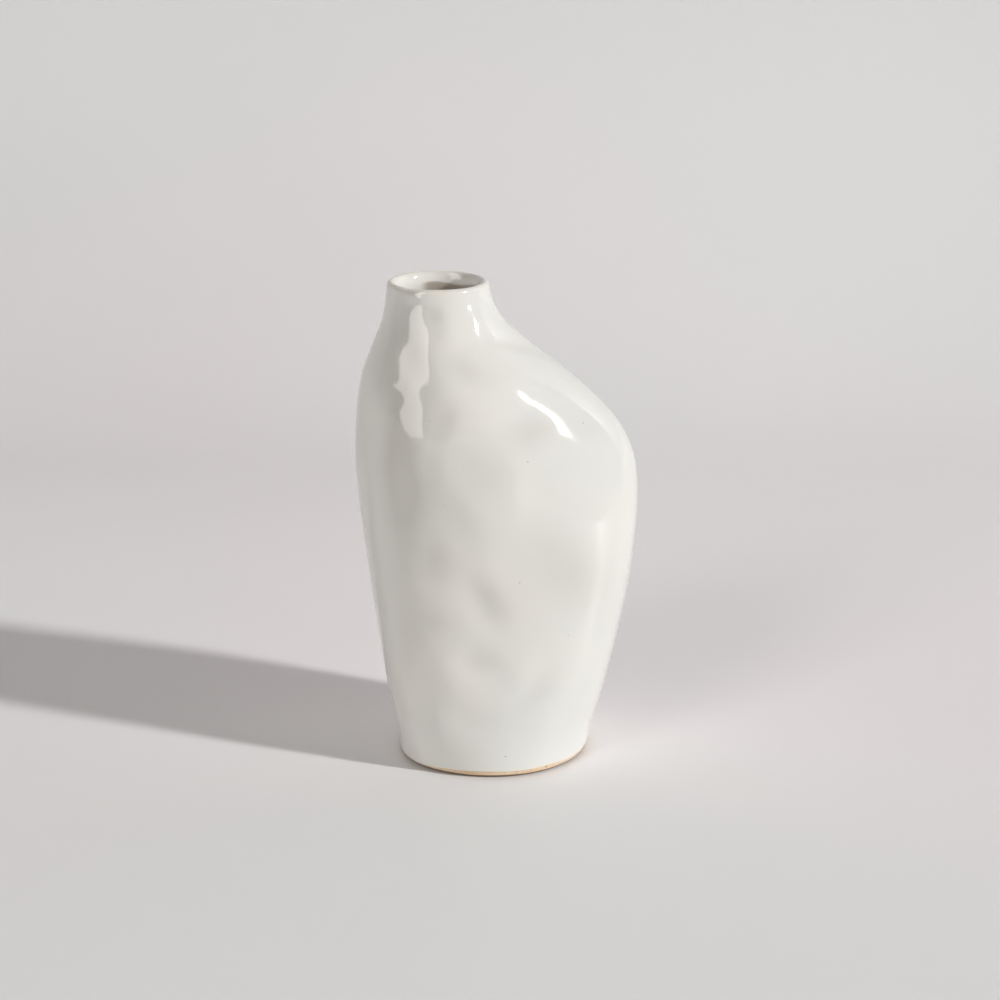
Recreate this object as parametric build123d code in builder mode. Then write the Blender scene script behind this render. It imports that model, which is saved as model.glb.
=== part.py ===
from build123d import *
from math import cos, hypot, pi, sin
import os

# A slip-cast stoneware vase, round at the foot and the mouth and cushion-shaped between,
# with the neck far to one side. The clay body carries an outer glaze that runs over the
# lip into the throat, a liner glaze in the chamber and a patch of glaze under the base.
# Origin in the middle of the foot on the table, +X to the shoulder, -Y to the front.

# Outer form over the glaze
vase_height = 200.0
foot_radius = 39.0
belly_left = 57.0  # reach of the belly from the foot's centre to the neck's side
belly_right = 59.0  # reach of the shoulder's side
belly_depth = 41.0  # reach to the front and to the back
mouth_radius = 20.6
mouth_offset = 22.5  # the mouth's centre stands this far to the left of the foot's
lip_rounding = 2.0
lip_bevel = 1.2  # the clay's lip is trimmed to a bevel under the rounded glaze
foot_rounding = 1.6

# Wall
clay_wall = 3.3
glaze_coat = 0.5
floor_clay = 4.5
chamber_rounding = 8.0

# Foot ring and the recess inside it
foot_ring_width = 6.0
recess_depth = 2.0
base_glaze_margin = 1.5  # bare clay between the base glaze and the recess wall

# Where the glazes end
glaze_line = 3.2  # the outer glaze is wiped off below this height
throat_lap = 14.0  # the outer glaze laps this far down the throat
cut_overrun = 5.0

# Stations up the vase: height as a share of the vase's, then how far the left, the right
# and the depth have swollen from the foot, or above the belly from the mouth, to the belly
station_shares = [
    (0.00, 0.00, 0.00, 0.00),
    (0.06, 0.11, 0.11, 0.34),
    (0.15, 0.35, 0.38, 0.62),
    (0.25, 0.51, 0.60, 0.81),
    (0.35, 0.67, 0.81, 0.92),
    (0.45, 0.82, 0.94, 0.99),
    (0.55, 0.94, 1.00, 0.99),
    (0.64, 1.00, 0.97, 0.96),
    (0.71, 0.96, 0.86, 0.895),
    (0.77, 0.88, 0.68, 0.815),
    (0.82, 0.72, 0.49, 0.70),
    (0.87, 0.44, 0.275, 0.46),
    (0.92, 0.16, 0.095, 0.20),
    (0.965, 0.04, 0.02, 0.045),
    (1.00, 0.00, 0.00, 0.00),
]
left_peak_share = 0.64  # height of the widest place on each side
right_peak_share = 0.55
depth_peak_share = 0.45

# The plan's shape: it is squared in the lower belly, and in the shoulder its front and
# back crests lean over to the neck's side. Each comes and goes between heights, which
# are shares too: where it starts, is full, starts to fade and is gone.
square_share = 0.035
square_height_shares = (0.0, 0.25, 0.35, 0.72)
crest_share = 0.11
crest_height_shares = (0.40, 0.70, 0.80, 0.97)

# The walls under the glaze are drawn through plans at these steps, closer in the neck
belly_step = 8.0
neck_step = 5.0
neck_from_share = 0.7
rounding_steps = 3
section_points = 12


def reach(swell, height_share, peak_share, belly, mouth):
    """Reach of one side: the foot's or the mouth's, swollen towards the belly's."""
    base = foot_radius if height_share <= peak_share else mouth
    return base + (belly - base) * swell


# Height, and reach to the left, right and front, of the glazed form at each station
stations = [
    (
        share * vase_height,
        reach(left, share, left_peak_share, belly_left, mouth_offset + mouth_radius),
        reach(right, share, right_peak_share, belly_right, mouth_radius - mouth_offset),
        reach(depth, share, depth_peak_share, belly_depth, mouth_radius),
    )
    for share, left, right, depth in station_shares
]


def slope(index, side):
    """Slope of one side at a station, from the stations below and above it."""
    low = stations[max(index - 1, 0)]
    high = stations[min(index + 1, len(stations) - 1)]
    return (high[side] - low[side]) / (high[0] - low[0])


def drawn_side(height, side, inset):
    """Reach of one side at a height, drawn in by a wall measured square to the side.

    Between two stations the side is the cubic with their reaches and their slopes.
    """
    upper = next(k for k in range(1, len(stations)) if stations[k][0] >= height)
    low, high = stations[upper - 1], stations[upper]
    rise = high[0] - low[0]
    swell = high[side] - low[side]
    start = slope(upper - 1, side) * rise - swell
    end = slope(upper, side) * rise - swell
    t = (height - low[0]) / rise
    bend = (1 - t) * start - t * end
    lean = swell + (1 - 2 * t) * bend - t * (1 - t) * (start + end)
    return low[side] + t * swell + t * (1 - t) * bend - inset * hypot(1, lean / rise)


def eased(share, height_share, height_shares):
    """A share that comes and goes smoothly between four heights."""
    start, full, fading, gone = height_shares
    rising = (height_share - start) / (full - start)
    falling = (gone - height_share) / (gone - fading)
    ease = max(0, min(1, rising, falling))
    return share * ease * ease * (3 - 2 * ease)


def plan(height, inset):
    """Plan of the form at a height, drawn in by an inset."""
    left, right, depth = [drawn_side(height, side, inset) for side in (1, 2, 3)]
    square = eased(square_share, height / vase_height, square_height_shares)
    crest = eased(crest_share, height / vase_height, crest_height_shares)
    centre = (right - left) / 2
    half = (right + left) / 2
    places = [k / section_points for k in range(section_points + 1)]
    outline = [
        (
            centre + half * (cos(t) - square * cos(3 * t)) / (1 - square),
            depth * (sin(t) + square * sin(3 * t) - crest * sin(2 * t)) / (1 - square),
        )
        for t in [2 * pi * place for place in places[:-1]]
    ]
    with BuildSketch(Plane.XY.offset(height)) as section:
        with BuildLine():
            add(Edge.make_spline(outline, periodic=True, parameters=places))
        make_face()
    return section.sketch


def wall_plans(inset, floor, rounding, top):
    """Plans of a closed wall from its rounded floor to its top."""
    turns = [pi / 2 * k / rounding_steps for k in range(rounding_steps)]
    plans = [
        plan(floor + rounding * (1 - cos(turn)), inset + rounding * (1 - sin(turn)))
        for turn in turns
    ]
    height = floor + rounding
    while height < top - neck_step / 2:
        plans.append(plan(height, inset))
        height += belly_step if height < neck_from_share * vase_height else neck_step
    plans.append(plan(top, inset))
    return plans


def rim_edges(part, height):
    """Edges of a part that lie flat at one height."""
    return part.edges().filter_by(
        lambda edge: abs(edge.bounding_box().min.Z - height) < same_height
        and abs(edge.bounding_box().max.Z - height) < same_height
    )


same_height = glaze_coat / 10  # edges nearer than this to a height lie at it
chamber_floor = recess_depth + floor_clay
clay_top = vase_height - glaze_coat
lap_height = vase_height - throat_lap
ring_inside = foot_radius - glaze_coat - foot_ring_width

# The space inside the clay, up to the clay's lip
with BuildPart() as clay_chamber:
    loft(
        sections=wall_plans(
            glaze_coat + clay_wall, chamber_floor, chamber_rounding, clay_top
        ),
        ruled=True,
    )

# The space left inside the glaze, up to the finished lip
with BuildPart() as glazed_chamber:
    loft(
        sections=wall_plans(
            glaze_coat + clay_wall + glaze_coat,
            chamber_floor + glaze_coat,
            chamber_rounding - glaze_coat,
            vase_height,
        ),
        ruled=True,
    )

# The chamber below the lap, where the liner takes over from the outer glaze, and the
# throat above it
with BuildPart() as lined_chamber:
    add(clay_chamber.part)
    split(bisect_by=Plane.XY.offset(lap_height), keep=Keep.BOTTOM)

with BuildPart() as throat:
    add(clay_chamber.part)
    split(bisect_by=Plane.XY.offset(lap_height), keep=Keep.TOP)

# The clay with its throat and its bevelled lip, still solid below the lap
with BuildPart() as clay_core:
    loft(
        sections=wall_plans(glaze_coat, 0, foot_rounding - glaze_coat, clay_top),
        ruled=True,
    )
    add(throat.part, mode=Mode.SUBTRACT)
    chamfer(rim_edges(clay_core, clay_top), lip_bevel)

# Clay body: the cast shell with its floor and the recess turned out inside its foot ring
with BuildPart() as clay_body:
    add(clay_core.part)
    add(lined_chamber.part, mode=Mode.SUBTRACT)
    with BuildSketch(Plane.XY.offset(-cut_overrun)):
        Circle(ring_inside)
    extrude(amount=cut_overrun + recess_depth, mode=Mode.SUBTRACT)

# Outer glaze: over the outside, the lip and the top of the throat
with BuildPart() as outer_glaze:
    loft(sections=[plan(station[0], 0) for station in stations])
    fillet(rim_edges(outer_glaze, 0), foot_rounding)
    add(glazed_chamber.part, mode=Mode.SUBTRACT)
    fillet(rim_edges(outer_glaze, vase_height), lip_rounding)
    split(bisect_by=Plane.XY.offset(glaze_line), keep=Keep.TOP)
    add(clay_core.part, mode=Mode.SUBTRACT)

# Inner glaze: the liner over the chamber's wall and floor, up to the lap
with BuildPart() as inner_glaze:
    add(lined_chamber.part)
    add(glazed_chamber.part, mode=Mode.SUBTRACT)

# Base glaze: the patch in the recess under the foot
with BuildPart() as base_glaze:
    with BuildSketch(Plane.XY.offset(recess_depth - glaze_coat)):
        Circle(ring_inside - base_glaze_margin)
    extrude(amount=glaze_coat)

clay_body.part.label = "clay_body"
outer_glaze.part.label = "outer_glaze"
inner_glaze.part.label = "inner_glaze"
base_glaze.part.label = "base_glaze"

os.makedirs("parts", exist_ok=True)
export_step(clay_body.part, "parts/clay_body.step")
export_step(outer_glaze.part, "parts/outer_glaze.step")
export_step(inner_glaze.part, "parts/inner_glaze.step")
export_step(base_glaze.part, "parts/base_glaze.step")
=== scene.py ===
import math

import bpy
import numpy as np
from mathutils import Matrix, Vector


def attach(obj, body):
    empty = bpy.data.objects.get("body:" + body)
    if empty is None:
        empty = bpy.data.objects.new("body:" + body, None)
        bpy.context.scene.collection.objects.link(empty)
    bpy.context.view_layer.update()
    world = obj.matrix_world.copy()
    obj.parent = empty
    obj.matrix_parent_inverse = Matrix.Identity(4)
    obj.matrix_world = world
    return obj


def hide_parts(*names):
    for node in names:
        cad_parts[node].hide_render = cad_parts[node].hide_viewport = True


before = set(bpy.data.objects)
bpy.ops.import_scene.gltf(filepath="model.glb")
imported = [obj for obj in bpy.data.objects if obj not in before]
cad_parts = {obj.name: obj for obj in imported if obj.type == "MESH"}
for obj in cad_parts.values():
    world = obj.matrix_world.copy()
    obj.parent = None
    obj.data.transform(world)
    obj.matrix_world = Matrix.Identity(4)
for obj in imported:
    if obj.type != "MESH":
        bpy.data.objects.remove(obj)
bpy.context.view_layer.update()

# A glazed stoneware bud vase, in metres: +X to the shoulder, -Y to the camera, with its
# foot on z = 0
mm = 0.001

form = {
    "height": 200 * mm,
    "footRadius": 39 * mm,
    "bellyLeft": 57 * mm,
    "bellyRight": 59 * mm,
    "bellyDepth": 41 * mm,
    "mouthRadius": 20.6 * mm,
    "mouthOffset": 22.5 * mm,
    "square": 0.035,  # third harmonic that squares the plan in the lower belly
    "squareHeights": (0.0, 0.25, 0.35, 0.72),  # starts, is full, fades and is gone
    "crest": 0.11,  # lean of the front and back crests towards the neck's side
    "crestHeights": (0.40, 0.70, 0.80, 0.97),
    "footSwell": 2.3 * mm,  # the foot bulges at the front on the neck's side
    "footTurn": -143,  # the bulge's middle and spread, in degrees round the foot
    "footSpread": 26,
    "footFade": (6 * mm, 34 * mm),  # heights between which the bulge fades out
    "peaks": (0.64, 0.55, 0.45),  # heights of the widest place: left, right, depth
    # share of the height, then how far the left, the right and the depth have swollen
    # from the foot, or above their peak from the mouth, to the belly
    "stations": (
        (0.00, 0.00, 0.00, 0.00),
        (0.06, 0.11, 0.11, 0.34),
        (0.15, 0.35, 0.38, 0.62),
        (0.25, 0.51, 0.60, 0.81),
        (0.35, 0.67, 0.81, 0.92),
        (0.45, 0.82, 0.94, 0.99),
        (0.55, 0.94, 1.00, 0.99),
        (0.64, 1.00, 0.97, 0.96),
        (0.71, 0.96, 0.86, 0.895),
        (0.77, 0.88, 0.68, 0.815),
        (0.82, 0.72, 0.49, 0.70),
        (0.87, 0.44, 0.275, 0.46),
        (0.92, 0.16, 0.095, 0.20),
        (0.965, 0.04, 0.02, 0.045),
        (1.00, 0.00, 0.00, 0.00),
    ),
}
wall = {
    "coat": 0.5 * mm,
    "clay": 3.3 * mm,
    "floorClay": 4.5 * mm,
    "lipRounding": 1.6 * mm,  # of the lip's outer edge
    "lipSlope": 6.0 * mm,  # how far the lip's inside slopes down to the throat
    "footRounding": 2.8 * mm,
    "chamberRounding": 8 * mm,
    "cornerRows": 9,
    "floorSteps": (6 * mm, 12 * mm, 18 * mm, 23 * mm),  # rows in over the chamber's floor
    "recess": 2 * mm,
    "lap": 14 * mm,  # the outer glaze laps this far down the throat
}
innerInset = 2 * wall["coat"] + wall["clay"]  # from the outer face to the lined chamber
turnCount = 300  # columns of every turned grid
turns = np.arange(turnCount) * 2 * math.pi / turnCount


def ease(x):
    # smoothstep: 3 x squared less 2 x cubed, between 0 and 1
    x = np.clip(x, 0, 1)
    return x * x * (3 - 2 * x)


def comesAndGoes(size, share, heights):
    # A size that eases in and out again between four heights
    start, full, fading, gone = heights
    rising = (share - start) / (full - start)
    falling = (gone - share) / (gone - fading)
    return size * ease(np.minimum(rising, falling))


def sideReaches(z):
    # Reach to the left, right and front at each height: the cubic that has the reaches
    # of the two stations round the height and, at each, the slope of its two neighbours.
    shares = np.array(form["stations"])
    heights = shares[:, 0] * form["height"]
    mouths = (
        form["mouthOffset"] + form["mouthRadius"],
        form["mouthRadius"] - form["mouthOffset"],
        form["mouthRadius"],
    )
    bellies = (form["bellyLeft"], form["bellyRight"], form["bellyDepth"])
    z = np.clip(z, 0, form["height"])
    upper = np.clip(np.searchsorted(heights, z), 1, len(heights) - 1)
    rise = heights[upper] - heights[upper - 1]
    t = (z - heights[upper - 1]) / rise
    reaches, leans = [], []
    for side in range(3):
        below = shares[:, 0] <= form["peaks"][side]
        base = np.where(below, form["footRadius"], mouths[side])
        reach = base + (bellies[side] - base) * shares[:, side + 1]
        slope = np.empty_like(reach)
        slope[1:-1] = (reach[2:] - reach[:-2]) / (heights[2:] - heights[:-2])
        slope[0] = (reach[1] - reach[0]) / (heights[1] - heights[0])
        slope[-1] = (reach[-1] - reach[-2]) / (heights[-1] - heights[-2])
        swell = reach[upper] - reach[upper - 1]
        start = slope[upper - 1] * rise - swell
        end = slope[upper] * rise - swell
        bend = (1 - t) * start - t * end
        reaches.append(reach[upper - 1] + t * swell + t * (1 - t) * bend)
        leans.append((swell + (1 - 2 * t) * bend - t * (1 - t) * (start + end)) / rise)
    return reaches, leans


def degreesOff(turn, degrees):
    # How far a turn is from a place in degrees, between -180 and 180
    return np.degrees(np.angle(np.exp(1j * (turn - math.radians(degrees)))))


def formGrid(turn, z, inset):
    # Point of the form at a turn round it and a height, drawn in square to the wall. With
    # squareness q and crest lean c, x is the plan's centre plus its half width times
    # (cos t - q cos 3t) / (1 - q), and y its depth times
    # (sin t + q sin 3t - c sin 2t) / (1 - q). The foot's bulge adds a radial
    # size times exp(-(turn off / spread)^2), faded out up the wall.
    reaches, leans = sideReaches(z)
    left, right, depth = [r - inset * np.hypot(1, s) for r, s in zip(reaches, leans)]
    share = z / form["height"]
    q = comesAndGoes(form["square"], share, form["squareHeights"])
    c = comesAndGoes(form["crest"], share, form["crestHeights"])
    centre, half = (right - left) / 2, (right + left) / 2
    x = centre + half * (np.cos(turn) - q * np.cos(3 * turn)) / (1 - q)
    y = depth * (np.sin(turn) + q * np.sin(3 * turn) - c * np.sin(2 * turn)) / (1 - q)
    off = degreesOff(turn, form["footTurn"]) / form["footSpread"]
    low, high = form["footFade"]
    swell = form["footSwell"] * (1 - ease((z - low) / (high - low))) * np.exp(-(off**2))
    x, y = x + swell * np.cos(turn), y + swell * np.sin(turn)
    return np.stack(np.broadcast_arrays(x, y, z), axis=-1)


def outwardGrid(turn, z):
    # Unit normal of the form: its change round the turn crossed with its change up the
    # height, both as small differences.
    step, turnStep = 0.2 * mm, 1e-3
    along = formGrid(turn + turnStep, z, 0) - formGrid(turn - turnStep, z, 0)
    low = np.clip(z - step, 0, form["height"] - 2 * step)
    up = formGrid(turn, low + 2 * step, 0) - formGrid(turn, low, 0)
    normal = np.cross(along, up)
    return normal / np.linalg.norm(normal, axis=-1, keepdims=True)


# Where fingers pressed the soft clay: turn in degrees (-90 front, 180 the neck's side),
# height, half length, half width (mm), tilt of the length from level in degrees, depth
# (mm). A negative depth is a swelling left between the presses.
presses = {
    "marks": (
        (-70, 146, 10, 6.5, 20, 0.90), (-59, 164, 7.5, 9, -74, -0.75),
        (-33, 177, 19, 4, -20, 0.70), (-73, 166, 19, 8, 58, -0.50),
        (-83, 183, 6, 6.5, -37, -0.55), (-47, 190, 6, 10, -13, -0.90),
        (-40, 145, 18, 7, -7, 0.40), (-106, 152, 7, 5, 57, 0.70),
        (-98, 132, 15, 9.5, -54, 0.85), (-130, 163, 7, 14, 11, 0.95),
        (-118, 174, 13, 6, 125, 0.95), (-94, 192, 5, 4, 107, 0.95),
        (-115, 134, 12, 4, 84, 0.30), (-116, 157, 14, 8, 74, 0.85),
        (-82, 191, 5, 8.5, 0, -0.30), (-111, 195, 9, 10, -10, 0.60),
        (-83, 170, 11, 6, -39, 0.85), (-127, 122, 18, 7, -90, 0.85),
        (-115, 119, 18, 12, -77, 0.65), (-104, 108, 13, 6.5, -62, 0.45),
        (-117, 93, 10, 8, 80, 0.90), (-96, 77, 12, 6, -57, 1.00),
        (-118, 66, 7, 6, -20, 0.55), (-99, 51, 10, 6.5, 0, 0.90),
        (-69, 92, 18, 14, 120, 0.85), (-54, 82, 18, 14, -45, 0.60),
        (-74, 36, 7, 10, -30, 1.20), (-108, 28, 13, 7, -15, 0.70),
        (-82, 125, 12, 5, -90, -0.50), (-114, 41, 18, 14, 60, -0.95),
        (-127, 17, 18, 13, 53, -0.95), (-75, 36, 18, 8, -70, -0.75),
        (-93, 91, 6.5, 5, -50, -0.15), (-118, 46, 18, 4, -70, 0.20),
        (172, 112, 9, 10, 10, 0.35), (178, 86, 12, 12, -20, 0.45),
        (168, 52, 11, 11, 15, 0.40), (176, 26, 8, 10, 0, 0.30),
        (-160, 142, 14, 8, -60, 0.35),
        (6, 60, 14, 10, -50, 0.35), (12, 92, 12, 9, 40, 0.40), (-4, 34, 11, 8, 0, 0.30),
        (58, 118, 15, 10, 50, 0.55), (82, 98, 13, 8, -40, 0.60),
        (104, 124, 12, 9, 35, 0.50), (122, 96, 11, 8, -50, 0.55),
        (70, 66, 13, 9, -30, 0.60), (97, 52, 10, 7, 40, 0.55),
        (124, 62, 12, 8, -55, 0.50), (60, 34, 12, 9, 25, 0.50),
        (106, 26, 9, 6, -10, 0.35), (88, 152, 12, 8, -45, 0.50),
        (118, 156, 10, 6, 50, 0.40), (42, 84, 13, 10, -70, 0.40),
        (84, 78, 9, 6, 70, -0.20), (110, 76, 9, 6, 80, -0.25),
        (66, 148, 12, 7, 20, -0.30),
    ),
    "reach": 12 * mm,  # how far a mark reaches behind and before its middle
    "fadeFoot": (4 * mm, 15 * mm),  # heights between which the marks fade in
    "fadeLip": (186 * mm, 197 * mm),  # and out again
}


def pressDepth(points, marks):
    # Sum over the marks of depth times exp(-(u/a)^2 - (v/b)^2 - (w/reach)^2), where u and
    # v lie along and across each mark in the tangent plane at its middle, w along the
    # normal there, and a and b are the mark's half length and half width.
    depth = np.zeros(points.shape[:-1])
    for degrees, height, a, b, tilt, deep in marks:
        turn, z = np.array([math.radians(degrees)]), np.array([height * mm])
        middle, normal = formGrid(turn, z, 0)[0], outwardGrid(turn, z)[0]
        level = np.cross((0, 0, 1), normal)
        level /= np.linalg.norm(level)
        steep = np.cross(normal, level)
        away = points - middle
        c, s = math.cos(math.radians(tilt)), math.sin(math.radians(tilt))
        u = away @ (c * level + s * steep) / (a * mm)
        v = away @ (c * steep - s * level) / (b * mm)
        w = away @ normal / presses["reach"]
        depth += deep * mm * np.exp(-u * u - v * v - w * w)
    z = points[..., 2]
    low, high = presses["fadeFoot"]
    depth *= ease((z - low) / (high - low))
    low, high = presses["fadeLip"]
    return depth * (1 - ease((z - low) / (high - low)))


rim = {
    "from": 184 * mm,  # the lip sways from this height up
    "drop": 0.08 * mm,
    "sway": 0.20 * mm,
    "notchTurn": -128,  # turn and width in degrees round the mouth
    "notchWidth": 13,
    "notchDepth": 0.35 * mm,
    "foldTurn": -112,  # the lip rolls out over the neck here
    "foldWidth": 13,
    "foldDepth": 0.5 * mm,
    "foldHeight": 197.6 * mm,
    "foldReach": 2.2 * mm,  # how far the fold reaches above and below its height
}


def swayRim(points):
    # The hand-finished rim: with share k eased in up the lip and turn m round the mouth,
    # it sinks by drop (1 + sin(2m + 1) / 2 + sin(5m) / 4) k and draws in by
    # sway (1 + sin(3m + 2) + sin(4m) / 2) k / 2, both deeper in one small notch. In one
    # place it rolls out by depth exp(-(turn off / width)^2 - (height off / reach)^2).
    k = ease((points[..., 2] - rim["from"]) / (form["height"] - rim["from"]))
    x = points[..., 0] + form["mouthOffset"]
    m = np.arctan2(points[..., 1], x)
    off = degreesOff(m, rim["notchTurn"]) / rim["notchWidth"]
    notch = rim["notchDepth"] * np.exp(-(off**2)) * k
    sink = rim["drop"] * (1 + np.sin(2 * m + 1) / 2 + np.sin(5 * m) / 4) * k + notch
    draw = rim["sway"] * (1 + np.sin(3 * m + 2) + np.sin(4 * m) / 2) / 2 * k + notch
    off = degreesOff(m, rim["foldTurn"]) / rim["foldWidth"]
    up = (points[..., 2] - rim["foldHeight"]) / rim["foldReach"]
    draw -= rim["foldDepth"] * np.exp(-(off**2) - up**2)
    move = np.stack([-draw * np.cos(m), -draw * np.sin(m), -sink], axis=-1)
    return points + move


def gridMesh(name, points, closeRows=False, poles=(), fields=None):
    # A grid of rows by turns made into faces; the turn always closes, the rows close on
    # themselves when asked, and a pole closes its row with a fan. Fields are named arrays
    # of one number per point, kept on the mesh for the finishes.
    rows, columns = points.shape[:2]
    vertices = points.reshape(-1, 3)
    index = np.arange(rows * columns).reshape(rows, columns)
    right = np.roll(index, -1, axis=1)
    if closeRows:
        up, upRight = np.roll(index, -1, axis=0), np.roll(right, -1, axis=0)
        quads = np.stack([index, right, upRight, up], axis=-1).reshape(-1, 4)
    else:
        quads = np.stack([index[:-1], right[:-1], right[1:], index[1:]], axis=-1)
        quads = quads.reshape(-1, 4)
    faces = quads.tolist()
    for row, point in poles:
        pole = len(vertices)
        vertices = np.vstack([vertices, point])
        fan = np.stack([right[row], index[row], np.full(columns, pole)], axis=-1)
        faces += (fan if row == 0 else fan[:, ::-1]).tolist()
    mesh = bpy.data.meshes.new(name)
    mesh.from_pydata(vertices.tolist(), [], faces)
    mesh.polygons.foreach_set("use_smooth", np.ones(len(faces), dtype=bool))
    for key, values in (fields or {}).items():
        layer = mesh.attributes.new(key, "FLOAT", "POINT")
        flat = np.zeros(len(vertices), dtype=np.float32)
        flat[: values.size] = values.ravel()
        layer.data.foreach_set("value", flat)
    mesh.update()
    piece = bpy.data.objects.new(name, mesh)
    bpy.context.scene.collection.objects.link(piece)
    print("made", name, "with", len(faces), "faces")
    return piece


def turnedGrid(path):
    # Rows along a path of height, inset and pressed (1 or 0), columns round the turn. A
    # pressed row moves in along the form's normal by the depth of the marks.
    z, inset, pressed = [np.array(column)[:, None] for column in zip(*path)]
    points = formGrid(turns[None, :], z, inset)
    depth = np.zeros(points.shape[:2])
    rows = np.flatnonzero(pressed[:, 0])
    around = turns[None, :]
    depth[rows] = pressDepth(formGrid(around, z[rows], 0 * z[rows]), presses["marks"])
    points[rows] -= outwardGrid(around, z[rows]) * depth[rows][..., None]
    return swayRim(points), depth


def arc(middleZ, middleInset, radius, start, end, count, pressed=0):
    # Part of a round in the plane of height and inset, between two angles in degrees
    angles = np.radians(np.linspace(start, end, count))
    return [
        (middleZ + radius * math.sin(a), middleInset - radius * math.cos(a), pressed)
        for a in angles
    ]


def straight(start, end, inset, count, pressed=0):
    # Evenly spaced heights at one inset
    return [(z, inset, pressed) for z in np.linspace(start, end, count)]


def lipSlope(top, crest, reach, drop, count):
    # The lip's inside: a quarter of an ellipse from its crest in to the throat's wall
    angles = np.radians(np.linspace(0, 90, count))[1:]
    return [
        (top - drop * (1 - math.cos(a)), crest + reach * math.sin(a), 0) for a in angles
    ]


def circleRows(rings):
    # Level rows of plain circles, one for each radius and height
    circle = np.stack([np.cos(turns), np.sin(turns), 0 * turns], axis=-1)
    return np.array([circle * radius + np.array([0, 0, z]) for radius, z in rings])


glazeCoat = {
    "line": 3.2 * mm,  # the coat is wiped off below this height
    "lineWave": 0.22 * mm,
    # the line's waves: times round, size and phase
    "lineWaves": ((3, 1.0, 0.5), (7, 0.6, 2.0), (11, 0.4, 0.0)),
    "lineSag": 1.3 * mm,  # how much lower it runs on the neck's side
    "lineFade": 4 * mm,  # the coat keeps its height from this far above the line
    "beadRows": 5,
    "outsideRows": 150,
    "lipRows": 10,
    "slopeRows": 16,
    "throatRows": 12,
    "backRows": 10,
    "hiddenRows": 50,
    "clayLip": 1.2 * mm,  # rounding of the clay's lip under the coat
    "clayLipRows": 7,
    "claySlopeRows": 12,
    "poolAndShadeDepth": 1.3 * mm,  # glaze pools, and painted shade is full, in a hollow this deep
    "poolAndShadeMost": 1.4,  # and up to this share in deeper ones
    # painted shade down the crease on the neck's side, as marks that darken the glaze
    "paintedShadeBands": (
        (-131, 121, 30, 7, 90, 1.5),
        (-131, 62, 30, 8, 90, 0.7),
        (-133, 140, 14, 6, 85, 1.0),
    ),
    "thinLip": (2.4 * mm, 0.4 * mm),  # below the top: starts to thin, and thinnest
    "thinFoot": 1.6 * mm,  # thin up to this far above the line
    "paintedLightFrom": 2.5 * mm,  # inside the mouth painted light whitens it from this far below the top
}
throatDark = {  # darker brown at the back of the throat, below a wavy edge
    "below": 4.1 * mm,  # how far its upper edge lies under the top
    "wave": 0.5 * mm,  # the edge waves by this much, times times round
    "times": 5,
    "phase": 2.4,
    "soft": 0.7 * mm,
    "swing": 0.38,  # radians by which its middle is turned towards the shoulder
    "sides": (0.62, 0.82),  # sines of the turns where it starts and is full
}


def clayLip():
    # The clay's lip under the coat, from its outer edge over the crest into the throat
    top, cr, coat = form["height"] - wall["coat"], glazeCoat["clayLip"], wall["coat"]
    crest = coat + cr
    throat, drop = innerInset - coat, wall["lipSlope"] - coat
    slope = lipSlope(top, crest, throat - crest, drop, glazeCoat["claySlopeRows"])
    return arc(top - cr, crest, cr, 0, 90, glazeCoat["clayLipRows"]) + slope


def glazeFields(path, crest, points, depth):
    # Fields for the finish: glaze pooled in the hollows with painted shade in them and
    # down the crease, up to a cap, and, as shares from 0 to 1, thin at the lip and at the
    # line, darker brown at the back of the throat below a wavy edge, and painted light
    # inside the mouth.
    below = form["height"] - np.array([row[0] for row in path])[:, None]
    start, end = glazeCoat["thinLip"]
    lipShare = ease((start - below) / (start - end))
    above = form["height"] - glazeCoat["line"] - below
    footShare = 1 - ease(above / glazeCoat["thinFoot"])
    # painted shade: darker glaze down the crease, added to the glaze pooled in the
    # hollows
    paintedShade = pressDepth(points, glazeCoat["paintedShadeBands"])
    poolAndShade = (depth + paintedShade) / glazeCoat["poolAndShadeDepth"]
    wave = throatDark["wave"] * np.sin(throatDark["times"] * turns + throatDark["phase"])
    edge = throatDark["below"] + wave
    low, high = throatDark["sides"]
    behind = ease((np.sin(turns + throatDark["swing"]) - low) / (high - low))
    inside = (np.arange(len(path)) >= crest)[:, None]
    return {
        "poolAndShade": np.clip(poolAndShade, 0, glazeCoat["poolAndShadeMost"]),
        "thin": np.maximum(lipShare, footShare) + 0 * depth,
        "bare": ease((below - edge) / throatDark["soft"]) * behind * inside,
        "paintedLightInMouth": ease(below / glazeCoat["paintedLightFrom"]) * inside + 0 * depth,
    }


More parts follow.
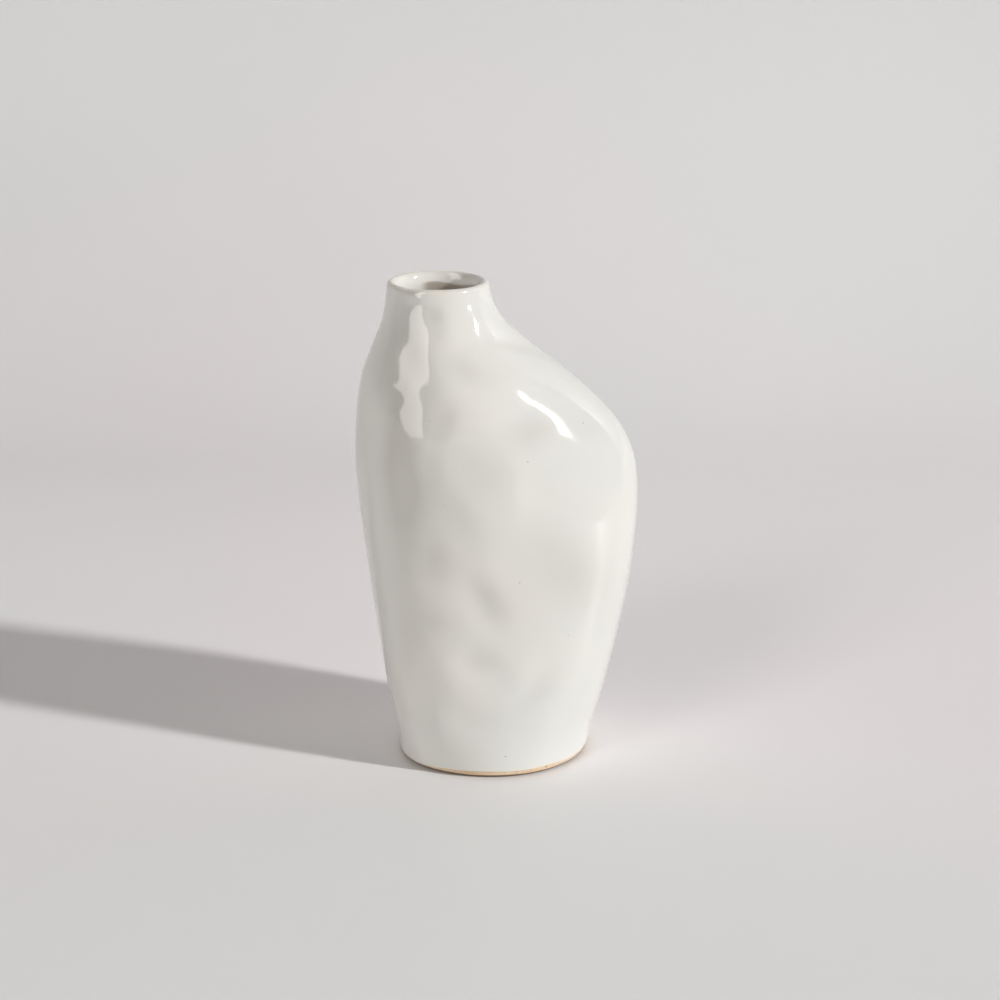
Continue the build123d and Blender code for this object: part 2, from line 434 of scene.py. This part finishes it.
def buildGlazeCoat():
    # The path runs up the outside, over the lip, down the throat, round the coat's end
    # and back along the clay, down to the wiped line above the foot. The line lies higher
    # by wave times the sum of the sines in lineWaves and lower by
    # sag times ((1 - cos(turn)) / 2)^2, both faded out above it.
    h, coat, r = form["height"], wall["coat"], wall["lipRounding"]
    line, lap, drop = glazeCoat["line"], h - wall["lap"], wall["lipSlope"]
    path = arc(line + coat / 2, coat / 2, coat / 2, -90, 0, glazeCoat["beadRows"], 1)
    path += straight(line + coat, h - r, 0, glazeCoat["outsideRows"], 1)
    path += arc(h - r, r, r, 0, 90, glazeCoat["lipRows"])[1:]
    crest = len(path) - 1
    path += lipSlope(h, r, innerInset - r, drop, glazeCoat["slopeRows"])
    path += straight(h - drop, lap + coat / 2, innerInset, glazeCoat["throatRows"])[1:]
    path += [(lap, innerInset - coat / 2, 0)]
    path += straight(lap + coat / 2, h - drop, innerInset - coat, glazeCoat["backRows"])
    path += clayLip()[-2::-1]
    under, rows = h - coat - glazeCoat["clayLip"], glazeCoat["hiddenRows"]
    path += straight(under, line + coat, coat, rows, 1)[1:]
    points, depth = turnedGrid(path)
    waves = glazeCoat["lineWaves"]
    wave = sum(size * np.sin(times * turns + phase) for times, size, phase in waves)
    near = 1 - ease((points[..., 2] - line) / glazeCoat["lineFade"])
    sag = glazeCoat["lineSag"] * (0.5 - 0.5 * np.cos(turns)) ** 2
    points[..., 2] += (glazeCoat["lineWave"] * wave - sag)[None, :] * near
    fields = glazeFields(path, crest, points, depth)
    return gridMesh("glaze_coat", points, closeRows=True, fields=fields)


def chamberCorner(inset, floor, radius):
    # The round between the chamber's wall and its floor, then steps in over the floor
    angles = np.radians(np.linspace(0, 90, wall["cornerRows"]))[1:]
    corner = [
        (floor + radius * (1 - math.sin(a)), inset + radius * (1 - math.cos(a)), 0)
        for a in angles
    ]
    return corner + [(floor, inset + radius + step, 0) for step in wall["floorSteps"]]


clayShell = {
    "ringWidth": 6 * mm,
    "edge": 0.4 * mm,  # softening of the turned recess
    "band": 6 * mm,  # the rows stand closer below this height, round the bare foot
    "turnRows": 12,
    "bandRows": 6,
    "wallRows": 60,
}


def buildClayShell():
    # From the middle of the recess out over the foot ring, up the outside, over the lip,
    # down the chamber and in over its floor.
    h, coat, recess = form["height"], wall["coat"], wall["recess"]
    r, cr, edge = wall["footRounding"] - coat, glazeCoat["clayLip"], clayShell["edge"]
    floor = recess + wall["floorClay"]
    ringInside = form["footRadius"] - coat - clayShell["ringWidth"]
    total, top = coat + wall["clay"], form["height"] - coat
    band, rows, corner = clayShell["band"], clayShell["wallRows"], wall["chamberRounding"]
    path = arc(r, coat + r, r, -90, 0, clayShell["turnRows"])
    path += straight(r, band, coat, clayShell["bandRows"], 1)[1:]
    path += straight(band, top - cr, coat, rows, 1)[1:]
    path += clayLip()[1:]
    path += straight(h - wall["lipSlope"], floor + corner, total, rows)[1:]
    path += chamberCorner(total, floor, corner)
    points, _ = turnedGrid(path)
    ring = circleRows((
        (6 * mm, recess), (14 * mm, recess), (22 * mm, recess),
        (ringInside - 2 * edge, recess), (ringInside - 0.3 * edge, recess - 0.3 * edge),
        (ringInside, recess - edge), (ringInside, edge),
        (ringInside + 0.3 * edge, 0.3 * edge), (ringInside + edge, 0),
        (form["footRadius"] - wall["footRounding"] - 2 * edge, 0),
    ))
    points = np.concatenate([ring, points])
    poles = ((0, (0, 0, recess)), (len(points) - 1, (0, 0, floor)))
    return gridMesh("clay_shell", points, poles=poles)


linerCoat = {
    "wallRows": 60,
    "edge": 0.3 * mm,  # its upper edge is rounded over this height
    "gap": 0.1 * mm,  # and ends this far below the lap
}


def buildLinerCoat():
    # From the middle of the chamber's floor up the clay to the lap, then back down the
    # liner's own face.
    coat, lap = wall["coat"], form["height"] - wall["lap"]
    total = coat + wall["clay"]
    floor, r = wall["recess"] + wall["floorClay"], wall["chamberRounding"]
    rows, edge = linerCoat["wallRows"], lap - linerCoat["edge"]
    path = chamberCorner(total, floor, r)[::-1]
    path += straight(floor + r, edge, total, rows)
    path += [(lap - linerCoat["gap"], total + coat / 2, 0)]
    path += straight(edge, floor + r, total + coat, rows)
    path += chamberCorner(total + coat, floor + coat, r - coat)
    points, _ = turnedGrid(path)
    poles = ((0, (0, 0, floor)), (len(points) - 1, (0, 0, floor + coat)))
    return gridMesh("liner_coat", points, poles=poles)


basePatch = {"margin": 1.5 * mm}


def buildBasePatch():
    # A disc with a rounded rim, under the base inside the foot ring
    inside = form["footRadius"] - wall["coat"] - clayShell["ringWidth"]
    radius, top, coat = inside - basePatch["margin"], wall["recess"], wall["coat"]
    rows = circleRows((
        (radius * 0.3, top - coat), (radius * 0.7, top - coat),
        (radius - 1.2 * mm, top - coat), (radius - 0.4 * mm, top - 0.8 * coat),
        (radius, top - 0.4 * coat), (radius, top),
        (radius * 0.7, top), (radius * 0.3, top),
    ))
    poles = ((0, (0, 0, top - coat)), (len(rows) - 1, (0, 0, top)))
    thin = np.zeros(rows.shape[:2])
    thin[3:6] = 1
    return gridMesh("base_patch", rows, poles=poles, fields={"thin": thin})


class Value:
    # One socket, for arithmetic that adds Math nodes
    def __init__(self, tree, socket):
        self.tree, self.socket = tree, socket

    def math(self, operation, first, second):
        node = self.tree.nodes.new("ShaderNodeMath")
        node.operation = operation
        for slot, item in zip(node.inputs, (first, second)):
            if isinstance(item, Value):
                self.tree.links.new(item.socket, slot)
            else:
                slot.default_value = item
        return Value(self.tree, node.outputs[0])

    def __add__(self, other):
        return self.math("ADD", self, other)

    def __radd__(self, other):
        return self.math("ADD", other, self)

    def __sub__(self, other):
        return self.math("SUBTRACT", self, other)

    def __rsub__(self, other):
        return self.math("SUBTRACT", other, self)

    def __mul__(self, other):
        return self.math("MULTIPLY", self, other)

    def __rmul__(self, other):
        return self.math("MULTIPLY", other, self)


class Nodes:
    # A node tree with one method that adds any node: its type, its settings, and the
    # values or links of its sockets by name or number; it gives back one output.
    def __init__(self, tree):
        self.tree = tree

    def add(self, kind, settings=None, sockets=None, output=0):
        node = self.tree.nodes.new(kind)
        for key, value in (settings or {}).items():
            setattr(node, key, value)
        for key, value in (sockets or {}).items():
            if isinstance(value, Value):
                self.tree.links.new(value.socket, node.inputs[key])
            else:
                node.inputs[key].default_value = value
        return Value(self.tree, node.outputs[output])

    def feed(self, value, node, socket):
        self.tree.links.new(value.socket, node.inputs[socket])

    def mix(self, factor, first, second):
        sockets = {0: factor, 6: first, 7: second}
        return self.add("ShaderNodeMix", {"data_type": "RGBA"}, sockets, 2)

    def between(self, value, low, high):
        # 0 below low, 1 above high, eased between; low may lie above high
        settings = {"interpolation_type": "SMOOTHSTEP"}
        return self.add("ShaderNodeMapRange", settings, {0: value, 1: low, 2: high})

    def noise(self, where, scale, detail=2.0, rough=0.5):
        sockets = {"Vector": where, "Scale": scale, "Detail": detail, "Roughness": rough}
        return self.add("ShaderNodeTexNoise", {}, sockets, "Fac")

    def cells(self, where, scale):
        # Distance to the nearest cell's middle, and that cell's lot between 0 and 1
        sockets = {"Vector": where, "Scale": scale}
        near = self.add("ShaderNodeTexVoronoi", {}, sockets, "Distance")
        lot = self.add("ShaderNodeTexVoronoi", {}, sockets, "Color")
        return near, self.add("ShaderNodeSeparateColor", {}, {0: lot}, 0)


def newFinish(name):
    material = bpy.data.materials.new(name)
    material.use_nodes = True
    tree = material.node_tree
    return material, Nodes(tree), tree.nodes["Principled BSDF"]


def colour(*rgb):
    return (*rgb, 1)


whiteGlaze = {
    "tint": colour(0.805, 0.79, 0.75),
    "drift": colour(0.775, 0.775, 0.745),  # where the coat drifts cooler
    # glaze pooled in the hollows, darkened further as painted shade in them and down the
    # crease
    "poolAndShade": colour(0.66, 0.65, 0.61),
    "thin": colour(0.83, 0.79, 0.70),  # the clay warms the coat at its edges
    "speck": colour(0.42, 0.31, 0.20),
    "paintedLightInMouth": colour(0.90, 0.885, 0.845),  # painted light that whitens the coat just inside the mouth
    "bare": colour(0.36, 0.29, 0.21),  # darker brown at the back of the throat
    "roughness": 0.055,
    "ior": 1.52,
    "specks": (  # x, z and radius in mm of the specks on the front
        (13.3, 134.6, 0.34), (10.2, 85.6, 0.36), (35.6, 146.0, 0.34),
        (4.6, 10.0, 0.40), (-20.0, 118.0, 0.22), (30.0, 62.0, 0.24),
    ),
}
linerGlaze = {
    **whiteGlaze,
    "tint": colour(0.74, 0.72, 0.67),
    "drift": colour(0.70, 0.69, 0.65),
    "roughness": 0.10,
    "specks": (),
}
glazeGrain = {
    # scale of each pattern, in cells or waves to the metre
    "driftScale": 16,
    "cloudScale": 60,
    "skinScale": 380,
    "waveScale": 95,
    "freckleScale": 120.0,
    "pinScale": 210.0,
    # where each pattern starts and is full, as values of its noise or cell
    "driftBand": (0.40, 0.62),
    "thinBand": (0.30, 0.65),
    "freckleLots": (0.955, 0.965),  # few cells hold a freckle
    "freckleSize": (0.040, 0.018),
    "pinSize": (0.030, 0.012),
    "pinPatches": (0.60, 0.66),
    "speckSoft": (1.3, 0.5),  # times its radius, where a speck starts and is full
    # most of each colour that is mixed in
    "thinMost": 0.8,
    "speckMost": 0.55,
    "bareMost": 0.72,
    # what each adds to the roughness
    "cloudRough": 0.03,
    "speckRough": 0.12,
    "thinRough": 0.05,
    # relief in mm
    "skinHeight": 0.012,
    "waveHeight": 0.06,
    "pinDepth": 0.05,
}


def glazeFinish(name, look):
    # Glaze that drifts in tint, pools in the hollows with painted shade in them and down
    # the crease, thins to warm at its edges, turns darker brown at the back of the
    # throat, whitens with painted light inside the mouth, holds a few iron specks and
    # pinholes and has a faint orange-peel skin
    material, nodes, shader = newFinish(name)
    grain = glazeGrain
    where = nodes.add("ShaderNodeTexCoord", output="Object")
    poolAndShade, thin, paintedLightInMouth, bare = [
        nodes.add("ShaderNodeAttribute", {"attribute_name": key}, output="Fac")
        for key in ("poolAndShade", "thin", "paintedLightInMouth", "bare")
    ]
    broad = nodes.noise(where, grain["driftScale"], 3)
    cloud = nodes.noise(where, grain["cloudScale"], 4, 0.6)
    skin = nodes.noise(where, grain["skinScale"], 2)
    wave = nodes.noise(where, grain["waveScale"], 1)

    near, pick = nodes.cells(where, grain["freckleScale"])
    chosen = nodes.between(pick, *grain["freckleLots"])
    specks = nodes.between(near, *grain["freckleSize"]) * chosen
    flatten = {"operation": "MULTIPLY"}
    flat = nodes.add("ShaderNodeVectorMath", flatten, {0: where, 1: (1, 0, 1)})
    depth = nodes.add("ShaderNodeSeparateXYZ", {}, {0: where}, "Y")
    front = nodes.between(depth, 0.0, -1 * mm)
    outer, core = grain["speckSoft"]
    for x, z, radius in look["specks"]:
        sockets = {0: flat, 1: (x * mm, 0, z * mm)}
        measure = {"operation": "DISTANCE"}
        away = nodes.add("ShaderNodeVectorMath", measure, sockets, "Value")
        dot = nodes.between(away, radius * outer * mm, radius * core * mm)
        specks = specks + dot * front
    cells = {"Vector": where, "Scale": grain["pinScale"]}
    pins = nodes.add("ShaderNodeTexVoronoi", {}, cells, "Distance")
    pits = nodes.between(pins, *grain["pinSize"])
    pits = pits * nodes.between(cloud, *grain["pinPatches"])

    drift = nodes.between(broad, *grain["driftBand"])
    body = nodes.mix(drift, look["tint"], look["drift"])
    # glaze pooled in the hollows, with painted shade in them and down the crease
    body = nodes.mix(poolAndShade * (0.5 + 0.5 * cloud), body, look["poolAndShade"])
    warm = thin * nodes.between(cloud, *grain["thinBand"]) * grain["thinMost"]
    body = nodes.mix(warm, body, look["thin"])
    # painted light: a whiter coat just inside the mouth
    body = nodes.mix(paintedLightInMouth, body, look["paintedLightInMouth"])
    body = nodes.mix(specks * grain["speckMost"], body, look["speck"])
    body = nodes.mix(bare * grain["bareMost"], body, look["bare"])
    nodes.feed(body, shader, "Base Color")
    rough = look["roughness"] + grain["cloudRough"] * cloud
    rough = rough + grain["speckRough"] * specks + grain["thinRough"] * thin
    nodes.feed(rough, shader, "Roughness")
    height = skin * grain["skinHeight"] + wave * grain["waveHeight"]
    height = height - pits * grain["pinDepth"]
    bump = {"Strength": 1.0, "Distance": 1 * mm, "Height": height}
    nodes.feed(nodes.add("ShaderNodeBump", {}, bump), shader, "Normal")
    shader.inputs["IOR"].default_value = look["ior"]
    print("mixed", name)
    return material


stoneware = {
    "tint": colour(0.76, 0.57, 0.38),
    "dark": colour(0.56, 0.40, 0.25),
    "light": colour(0.84, 0.68, 0.50),
    "grit": colour(0.33, 0.22, 0.14),
    "paintedContactShadow": colour(0.16, 0.11, 0.07),  # painted contact shadow along the foot's lowest edge, where it meets the floor
    "paintedContactShadowHeight": 1.25 * mm,
    "paintedContactShadowSoft": 0.3 * mm,
    "roughness": 0.78,
    "ior": 1.45,
    # scale of each pattern, in waves or cells to the metre, and where it starts and is
    # full
    "cloudScale": 55,
    "cloudBand": (0.35, 0.70),
    "sandScale": 900,
    "sandBand": (0.50, 0.72),
    "gritScale": 650.0,
    "gritSize": (0.40, 0.22),
    "gritLots": (0.90, 0.93),  # about a tenth of the cells hold a dark grain
    # most of each colour that is mixed in
    "sandMost": 0.5,
    "gritMost": 0.7,
    "paintedContactShadowMost": 0.9,
    "sandRough": 0.16,  # what the sand adds to the roughness
    "gritHeight": 0.6,  # height of the grains, times the sand's
}


def clayFinish(name, look):
    # Bare fired clay: cloudy tan with pale and dark grains, sandy to the touch, and a
    # painted contact shadow along the foot's lowest edge
    material, nodes, shader = newFinish(name)
    where = nodes.add("ShaderNodeTexCoord", output="Object")
    cloud = nodes.noise(where, look["cloudScale"], 4, 0.6)
    sand = nodes.noise(where, look["sandScale"], 3, 0.65)
    near, pick = nodes.cells(where, look["gritScale"])
    grit = nodes.between(near, *look["gritSize"]) * nodes.between(pick, *look["gritLots"])
    pale = nodes.between(cloud, *look["cloudBand"])
    body = nodes.mix(pale, look["tint"], look["light"])
    dark = nodes.between(sand, *look["sandBand"]) * look["sandMost"]
    body = nodes.mix(dark, body, look["dark"])
    body = nodes.mix(grit * look["gritMost"], body, look["grit"])
    z = nodes.add("ShaderNodeSeparateXYZ", {}, {0: where}, "Z")
    # painted contact shadow: the clay darkens to near black below a cloudy height over
    # the floor
    edge = look["paintedContactShadowHeight"] * (0.6 + 0.8 * cloud)
    low = nodes.between(z - edge, look["paintedContactShadowSoft"], -look["paintedContactShadowSoft"])
    body = nodes.mix(low * look["paintedContactShadowMost"], body, look["paintedContactShadow"])
    nodes.feed(body, shader, "Base Color")
    nodes.feed(look["roughness"] + look["sandRough"] * sand, shader, "Roughness")
    height = sand + grit * look["gritHeight"]
    bump = {"Strength": 0.6, "Distance": 0.1 * mm, "Height": height}
    nodes.feed(nodes.add("ShaderNodeBump", {}, bump), shader, "Normal")
    shader.inputs["IOR"].default_value = look["ior"]
    print("mixed", name)
    return material


studio = {
    "camera": (2.35 * mm, -919.6 * mm, 390.6 * mm),
    "pitch": 17.10,  # degrees down from level
    "lens": 83.91,
    "sensor": 36,
    "keyTurn": -23.0,  # the key light stands to the right, a little in front
    "keyHeight": 25.0,
    "keySize": 4.3,
    "keyStrength": 2.56,
    "keyColour": (1.0, 0.995, 0.985),
    "fillColour": (1.0, 0.965, 0.92),
    "roomTop": 0.147,  # brightness of the room's ceiling, with none at the table's level
    "roomFront": 0.03,  # what the room in front adds
    "roomFrontBand": (0.2, -1.0),  # y of the directions where that starts and is full
    "roomColour": colour(1, 0.985, 0.975),
    # A soft box that fills the shade, upright and turned to the vase
    "fillTurn": -125.0,
    "fillDistance": 1.6,
    "fillWidth": 0.62,
    "fillHeights": (0.05, 1.75),
    "fillBrightness": 3.3,
    "paperWarm": colour(0.895, 0.858, 0.870),
    "paperCool": colour(0.872, 0.872, 0.874),
    "paperDrift": 1.6,  # scale of the drift between them
    "paperDriftBand": (0.35, 0.65),
    "paperShadedLeft": 0.87,  # painted shade: the wall's share of those colours at the far left
    "paperLitRight": 0.16,  # painted light added from left to right between these x
    "paperLitRightBand": (-0.45, 0.35),
    "paperLitFloor": 0.08,  # painted light that the floor adds, from these y forwards
    "paperLitFloorBand": (0.5, 0.2),
    "paperRoughness": 0.5,
    "coveFloor": (-2.5, -1.0, 0.0),  # y of the floor's rows
    "coveStart": 0.42,  # y where the floor starts to rise
    "coveRadius": 0.35,
    "coveBends": 40,
    "coveWall": (1.2, 3.0),  # z of the wall's rows
    "coveHalf": 3.0,  # half its width
    "coveColumns": 25,
}


def buildCamera():
    scene = bpy.context.scene
    scene.view_settings.view_transform = "Standard"
    data = bpy.data.cameras.new("camera")
    data.lens, data.sensor_width = studio["lens"], studio["sensor"]
    data.clip_start = 50 * mm
    camera = bpy.data.objects.new("camera", data)
    camera.location = studio["camera"]
    camera.rotation_euler = (math.radians(90 - studio["pitch"]), 0, 0)
    scene.collection.objects.link(camera)
    scene.camera = camera
    print("camera set")


def aim(lamp, towards):
    # Turn a lamp so that it shines from that side towards the middle
    lamp.rotation_euler = Vector(towards).to_track_quat("Z", "Y").to_euler()
    bpy.context.scene.collection.objects.link(lamp)


def buildLights():
    data = bpy.data.lights.new("key", "SUN")
    data.energy, data.color = studio["keyStrength"], studio["keyColour"]
    data.angle = math.radians(studio["keySize"])
    turn, up = math.radians(studio["keyTurn"]), math.radians(studio["keyHeight"])
    towards = (math.cos(turn) * math.cos(up), math.sin(turn) * math.cos(up), math.sin(up))
    aim(bpy.data.objects.new("key", data), towards)

    data = bpy.data.lights.new("fill", "AREA")
    bottom, top = studio["fillHeights"]
    data.shape, data.size, data.size_y = "RECTANGLE", studio["fillWidth"], top - bottom
    data.energy = studio["fillBrightness"] * math.pi * data.size * data.size_y
    data.color = studio["fillColour"]
    turn, away = math.radians(studio["fillTurn"]), studio["fillDistance"]
    fill = bpy.data.objects.new("fill", data)
    fill.location = (away * math.cos(turn), away * math.sin(turn), (top + bottom) / 2)
    fill.visible_camera = fill.visible_glossy = False
    aim(fill, (math.cos(turn), math.sin(turn), 0))

    world = bpy.data.worlds.new("room")
    bpy.context.scene.world = world
    world.use_nodes = True
    nodes = Nodes(world.node_tree)
    where = nodes.add("ShaderNodeTexCoord", output="Generated")
    y, z = [nodes.add("ShaderNodeSeparateXYZ", {}, {0: where}, axis) for axis in "YZ"]
    share = nodes.between(y, *studio["roomFrontBand"])
    bright = studio["roomTop"] * z * z + studio["roomFront"] * share * share
    background = world.node_tree.nodes["Background"]
    nodes.feed(bright, background, "Strength")
    background.inputs["Color"].default_value = studio["roomColour"]
    print("lights set")


screen = {
    "distance": 0.9,
    "level": 0.16,  # height of the glaze that mirrors it
    # turn and elevation in degrees of its lower edge as seen from there
    "edge": ((-123, -6), (-133, -7), (-139, -7.8), (-146, 1), (-152, 9), (-157, 15)),
    "top": 2.2,
    "brightness": 4.0,
}


def buildScreen():
    # The tall bright screen that the neck and shoulder mirror: upright strips at one
    # distance, each from the lower edge, height level + distance times tan(elevation),
    # to the top.
    turn, up = np.radians(np.array(screen["edge"])).T
    away = screen["distance"]
    low = screen["level"] + away * np.tan(up)
    foot = np.stack([away * np.cos(turn), away * np.sin(turn), low], axis=-1)
    head = foot.copy()
    head[:, 2] = screen["top"]
    points = np.concatenate([foot, head])
    count = len(foot)
    quads = [(k, k + 1, count + k + 1, count + k) for k in range(count - 1)]
    mesh = bpy.data.meshes.new("screen")
    mesh.from_pydata(points.tolist(), [], quads)
    board = bpy.data.objects.new("screen", mesh)
    bpy.context.scene.collection.objects.link(board)
    material, _, shader = newFinish("screen_light")
    shader.inputs["Base Color"].default_value = colour(0, 0, 0)
    shader.inputs["Emission Color"].default_value = colour(*studio["fillColour"])
    shader.inputs["Emission Strength"].default_value = screen["brightness"]
    mesh.materials.append(material)
    board.visible_camera = board.visible_diffuse = board.visible_shadow = False
    print("screen set")


def buildCove():
    # A level floor that rises behind the vase on a quarter round: rows of points at the
    # floor's, the round's and the wall's y and z, each as wide as the cove
    start, radius, half = studio["coveStart"], studio["coveRadius"], studio["coveHalf"]
    floorRows, wallRows = np.array(studio["coveFloor"]), np.array(studio["coveWall"])
    bend = np.linspace(0, math.pi / 2, studio["coveBends"])
    behind = np.full(len(wallRows), start + radius)
    y = np.concatenate([floorRows, start + radius * np.sin(bend), behind])
    z = np.concatenate([0 * floorRows, radius * (1 - np.cos(bend)), wallRows])
    x = np.linspace(-half, half, studio["coveColumns"])
    points = np.stack(np.broadcast_arrays(x[None, :], y[:, None], z[:, None]), axis=-1)
    rows, columns = points.shape[:2]
    index = np.arange(rows * columns).reshape(rows, columns)
    low, high = index[:-1], index[1:]
    quads = np.stack([low[:, :-1], low[:, 1:], high[:, 1:], high[:, :-1]], axis=-1)
    mesh = bpy.data.meshes.new("cove")
    mesh.from_pydata(points.reshape(-1, 3).tolist(), [], quads.reshape(-1, 4).tolist())
    mesh.polygons.foreach_set("use_smooth", np.ones(len(mesh.polygons), dtype=bool))
    cove = bpy.data.objects.new("cove", mesh)
    bpy.context.scene.collection.objects.link(cove)
    material, nodes, shader = newFinish("paper")
    where = nodes.add("ShaderNodeTexCoord", output="Object")
    drift = nodes.noise(where, studio["paperDrift"], 1)
    drift = nodes.between(drift, *studio["paperDriftBand"])
    tint = nodes.mix(drift, studio["paperWarm"], studio["paperCool"])
    x, y = [nodes.add("ShaderNodeSeparateXYZ", {}, {0: where}, axis) for axis in "XY"]
    # painted light and shade on the paper: darker at the far left, lighter to the right
    # and on the floor in front
    right = nodes.between(x, *studio["paperLitRightBand"])
    floor = nodes.between(y, *studio["paperLitFloorBand"])
    share = studio["paperShadedLeft"] + studio["paperLitRight"] * right
    share = share + studio["paperLitFloor"] * floor
    scale = {"operation": "SCALE"}
    tint = nodes.add("ShaderNodeVectorMath", scale, {0: tint, "Scale": share})
    nodes.feed(tint, shader, "Base Color")
    shader.inputs["Roughness"].default_value = studio["paperRoughness"]
    mesh.materials.append(material)
    print("cove set")


buildCamera()
buildLights()
buildScreen()
buildCove()
whiteFinish = glazeFinish("white_glaze_finish", whiteGlaze)
linerFinish = glazeFinish("liner_glaze_finish", linerGlaze)
bareFinish = clayFinish("stoneware_finish", stoneware)
for build, material, slot, node in (
    (buildGlazeCoat, whiteFinish, "white_glaze", "outer_glaze"),
    (buildClayShell, bareFinish, "stoneware", "clay_body"),
    (buildLinerCoat, linerFinish, "liner_glaze", "inner_glaze"),
    (buildBasePatch, whiteFinish, "white_glaze", "base_glaze"),
):
    piece = build()
    piece.data.materials.append(material)
    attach(piece, "root")
    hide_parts(node)

bpy.context.view_layer.update()
